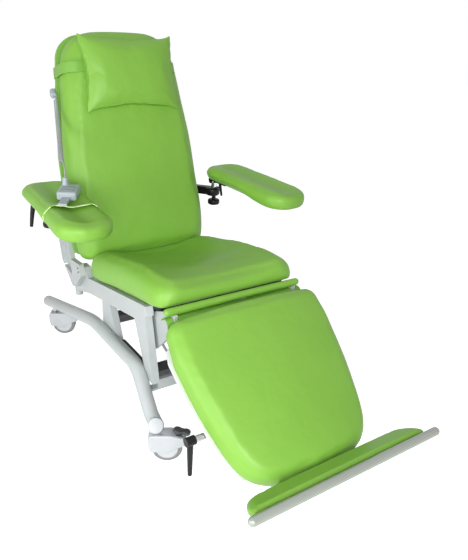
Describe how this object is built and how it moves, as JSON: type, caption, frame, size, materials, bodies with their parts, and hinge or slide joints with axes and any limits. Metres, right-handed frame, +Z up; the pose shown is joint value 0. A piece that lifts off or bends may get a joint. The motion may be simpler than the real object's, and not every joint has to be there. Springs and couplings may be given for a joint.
{
  "type": "phlebotomy chair",
  "caption": "Reclining phlebotomy chair on castors, with powered backrest and legrest, sliding footrest, swivelling arm supports, headrest pillow and corded handset.",
  "frame": {"origin": "floor point midway between the four castor stems, on the chair's centre plane", "axes": "+Z up, the chair faces -Y, +X is to the sitter's left (image right)"},
  "size_m": [1.0119, 1.7248, 1.3051],
  "materials": {
    "upholstery": "lime-green upholstery vinyl, satin",
    "upholstery_piping": "lime-green vinyl strap and sleeve",
    "powder_grey": "light-grey powder coat",
    "dark_steel": "dark-grey powder coat",
    "pale_board": "pale laminated board",
    "black_plastic": "black moulded plastic",
    "grey_plastic": "light-grey moulded plastic",
    "handset_plastic": "pale blue-grey plastic",
    "button_plastic": "grey rocker keys",
    "chrome_steel": "chromed steel",
    "bare_steel": "plain steel",
    "bar_metal": "satin silver tube",
    "tyre_rubber": "grey tread",
    "pedal_plastic": "dark-grey moulded plastic",
    "cord_grey": "light-grey cord jacket"
  },
  "bodies": {
    "base": {"side_tubes": "powder_grey", "tube_end_caps": "grey_plastic", "castor_stems": "bare_steel", "cross_tubes": "powder_grey", "cross_beams": "dark_steel", "seat_rails": "powder_grey", "posts": "powder_grey", "seat_board": "black_plastic", "seat_cushion": "upholstery", "hinge_pins": "bare_steel", "gap_roll": "upholstery", "control_box": "black_plastic", "leg_motor_cable": "cord_grey"},
    "back": {"back_frame": "powder_grey", "back_shell": "grey_plastic", "back_cushion": "upholstery", "headrest_pillow": "upholstery", "pillow_strap": "upholstery_piping", "armrest_brackets": "dark_steel", "curly_cord": "cord_grey"},
    "frame_knob_body": {"frame_knob": "black_plastic"},
    "post_left": {"armrest_post_left": "chrome_steel"},
    "pad_left": {"armrest_head_left": "dark_steel", "armrest_pad_left": "upholstery", "armrest_sleeve": "upholstery_piping", "handset": "handset_plastic", "cord_tail": "cord_grey"},
    "lever_left": {"armrest_lever_left": "black_plastic"},
    "knob_left": {"armrest_knob_left": "black_plastic"},
    "post_right": {"armrest_post_right": "chrome_steel"},
    "pad_right": {"armrest_head_right": "dark_steel", "armrest_pad_right": "upholstery"},
    "lever_right": {"armrest_lever_right": "black_plastic"},
    "knob_right": {"armrest_knob_right": "black_plastic"},
    "button_back": {"handset_button_back": "button_plastic"},
    "button_leg": {"handset_button_leg": "button_plastic"},
    "leg": {"leg_frame": "powder_grey", "leg_board": "pale_board", "leg_cushion": "upholstery"},
    "foot": {"footrest_slides": "bare_steel", "footrest_plate": "bare_steel", "footrest_pad": "upholstery", "footrest_bar": "bar_metal"},
    "foot_lever": {"footrest_lever": "black_plastic"},
    "back_motor": {"back_actuator": "grey_plastic"},
    "back_rod": {"back_ram": "chrome_steel"},
    "leg_motor": {"leg_actuator": "grey_plastic"},
    "leg_rod": {"leg_ram": "chrome_steel"},
    "hood_front_left": {"castor_hood_front_left": "grey_plastic"},
    "wheel_front_left": {"castor_wheel_front_left": "tyre_rubber"},
    "pedal_front_left": {"castor_pedal_front_left": "pedal_plastic"},
    "hood_front_right": {"castor_hood_front_right": "grey_plastic"},
    "wheel_front_right": {"castor_wheel_front_right": "tyre_rubber"},
    "pedal_front_right": {"castor_pedal_front_right": "pedal_plastic"},
    "hood_rear_left": {"castor_hood_rear_left": "grey_plastic"},
    "wheel_rear_left": {"castor_wheel_rear_left": "tyre_rubber"},
    "pedal_rear_left": {"castor_pedal_rear_left": "pedal_plastic"},
    "hood_rear_right": {"castor_hood_rear_right": "grey_plastic"},
    "wheel_rear_right": {"castor_wheel_rear_right": "tyre_rubber"},
    "pedal_rear_right": {"castor_pedal_rear_right": "pedal_plastic"}
  },
  "joints": [
    {"name": "backrest_recline", "type": "hinge", "parent": "base", "child": "back", "pos_m": [0, 0.188, 0.424], "axis": [-1, 0, 0], "range_deg": [-5, 60]},
    {"name": "legrest_lift", "type": "hinge", "parent": "base", "child": "leg", "pos_m": [0, -0.494, 0.48], "axis": [-1, 0, 0], "range_deg": [-10, 28]},
    {"name": "footrest_slide", "type": "slide", "parent": "leg", "child": "foot", "axis": [0, -0.7649, -0.6441], "range_m": [0, 0.11]},
    {"name": "footrest_lever_turn", "type": "hinge", "parent": "leg", "child": "foot_lever", "pos_m": [-0.302, -0.7532, 0.2413], "axis": [1, 0, 0], "range_deg": [-60, 60]},
    {"name": "frame_knob_turn", "type": "hinge", "parent": "base", "child": "frame_knob_body", "pos_m": [-0.256, 0.314, 0.31], "axis": [0, 1, 0], "continuous": true},
    {"name": "back_motor_swing", "type": "hinge", "parent": "base", "child": "back_motor", "pos_m": [-0.07, -0.262, 0.378], "axis": [-1, 0, 0], "range_deg": [-1.2, 3.35]},
    {"name": "back_rod_slide", "type": "slide", "parent": "back_motor", "child": "back_rod", "axis": [0, 0.998, -0.0627], "range_m": [-0.094, 0.0097]},
    {"name": "leg_motor_swing", "type": "hinge", "parent": "base", "child": "leg_motor", "pos_m": [0.07, -0.226, 0.3], "axis": [-1, 0, 0], "range_deg": [-4.09, 9.66]},
    {"name": "leg_rod_slide", "type": "slide", "parent": "leg_motor", "child": "leg_rod", "axis": [0, -0.9984, 0.0569], "range_m": [-0.0282, 0.0754]},
    {"name": "armrest_swivel_left", "type": "hinge", "parent": "back", "child": "post_left", "pos_m": [-0.37, 0.245, 0.658], "axis": [0, 0, 1], "range_deg": [-70, 5]},
    {"name": "armrest_tilt_left", "type": "hinge", "parent": "post_left", "child": "pad_left", "pos_m": [-0.37, 0.245, 0.705], "axis": [1, 0, 0], "range_deg": [-20, 15], "deforming": ["curly_cord"]},
    {"name": "tilt_lever_left", "type": "hinge", "parent": "pad_left", "child": "lever_left", "pos_m": [-0.37, 0.245, 0.705], "axis": [1, 0, 0], "range_deg": [-60, 60]},
    {"name": "armrest_knob_turn_left", "type": "hinge", "parent": "back", "child": "knob_left", "pos_m": [-0.37, 0.245, 0.608], "axis": [0, 0, 1], "continuous": true},
    {"name": "armrest_swivel_right", "type": "hinge", "parent": "back", "child": "post_right", "pos_m": [0.37, 0.245, 0.658], "axis": [0, 0, 1], "range_deg": [-5, 70]},
    {"name": "armrest_tilt_right", "type": "hinge", "parent": "post_right", "child": "pad_right", "pos_m": [0.37, 0.245, 0.705], "axis": [0.9936, 0.1132, 0], "range_deg": [-20, 15]},
    {"name": "tilt_lever_right", "type": "hinge", "parent": "pad_right", "child": "lever_right", "pos_m": [0.37, 0.245, 0.705], "axis": [0.9936, 0.1132, 0], "range_deg": [-60, 60]},
    {"name": "armrest_knob_turn_right", "type": "hinge", "parent": "back", "child": "knob_right", "pos_m": [0.37, 0.245, 0.608], "axis": [0, 0, 1], "continuous": true},
    {"name": "button_rock_back", "type": "hinge", "parent": "pad_left", "child": "button_back", "pos_m": [-0.35708, 0.02345, 0.80248], "axis": [-0.866, 0.4988, 0.0349], "range_deg": [-4, 4], "stiffness_Nm_per_rad": 0.3},
    {"name": "button_rock_leg", "type": "hinge", "parent": "pad_left", "child": "button_leg", "pos_m": [-0.37178, -0.00195, 0.80071], "axis": [-0.866, 0.4988, 0.0349], "range_deg": [-4, 4], "stiffness_Nm_per_rad": 0.3},
    {"name": "castor_swivel_front_left", "type": "hinge", "parent": "base", "child": "hood_front_left", "pos_m": [-0.304, -0.509, 0.107], "axis": [0, 0, 1], "continuous": true},
    {"name": "castor_roll_front_left", "type": "hinge", "parent": "hood_front_left", "child": "wheel_front_left", "pos_m": [-0.27282, -0.527, 0.05], "axis": [0.5, 0.866, 0], "continuous": true},
    {"name": "brake_pedal_front_left", "type": "hinge", "parent": "hood_front_left", "child": "pedal_front_left", "pos_m": [-0.23818, -0.547, 0.0935], "axis": [0.5, 0.866, 0], "range_deg": [-6, 2]},
    {"name": "castor_swivel_front_right", "type": "hinge", "parent": "base", "child": "hood_front_right", "pos_m": [0.304, -0.509, 0.107], "axis": [0, 0, 1], "continuous": true},
    {"name": "castor_roll_front_right", "type": "hinge", "parent": "hood_front_right", "child": "wheel_front_right", "pos_m": [0.33518, -0.527, 0.05], "axis": [0.5, 0.866, 0], "continuous": true},
    {"name": "brake_pedal_front_right", "type": "hinge", "parent": "hood_front_right", "child": "pedal_front_right", "pos_m": [0.36982, -0.547, 0.0935], "axis": [0.5, 0.866, 0], "range_deg": [-6, 2]},
    {"name": "castor_swivel_rear_left", "type": "hinge", "parent": "base", "child": "hood_rear_left", "pos_m": [-0.304, 0.509, 0.107], "axis": [0, 0, 1], "continuous": true},
    {"name": "castor_roll_rear_left", "type": "hinge", "parent": "hood_rear_left", "child": "wheel_rear_left", "pos_m": [-0.27282, 0.491, 0.05], "axis": [0.5, 0.866, 0], "continuous": true},
    {"name": "brake_pedal_rear_left", "type": "hinge", "parent": "hood_rear_left", "child": "pedal_rear_left", "pos_m": [-0.23818, 0.471, 0.0935], "axis": [0.5, 0.866, 0], "range_deg": [-6, 2]},
    {"name": "castor_swivel_rear_right", "type": "hinge", "parent": "base", "child": "hood_rear_right", "pos_m": [0.304, 0.509, 0.107], "axis": [0, 0, 1], "continuous": true},
    {"name": "castor_roll_rear_right", "type": "hinge", "parent": "hood_rear_right", "child": "wheel_rear_right", "pos_m": [0.33518, 0.491, 0.05], "axis": [0.5, 0.866, 0], "continuous": true},
    {"name": "brake_pedal_rear_right", "type": "hinge", "parent": "hood_rear_right", "child": "pedal_rear_right", "pos_m": [0.36982, 0.471, 0.0935], "axis": [0.5, 0.866, 0], "range_deg": [-6, 2]}
  ],
  "couplings": [
    {"joint": "back_motor_swing", "follows": "backrest_recline", "ratio": 0.0392},
    {"joint": "back_rod_slide", "follows": "backrest_recline", "m_per_rad": -0.08788},
    {"joint": "leg_motor_swing", "follows": "legrest_lift", "ratio": 0.3092},
    {"joint": "leg_rod_slide", "follows": "legrest_lift", "m_per_rad": 0.15012}
  ]
}
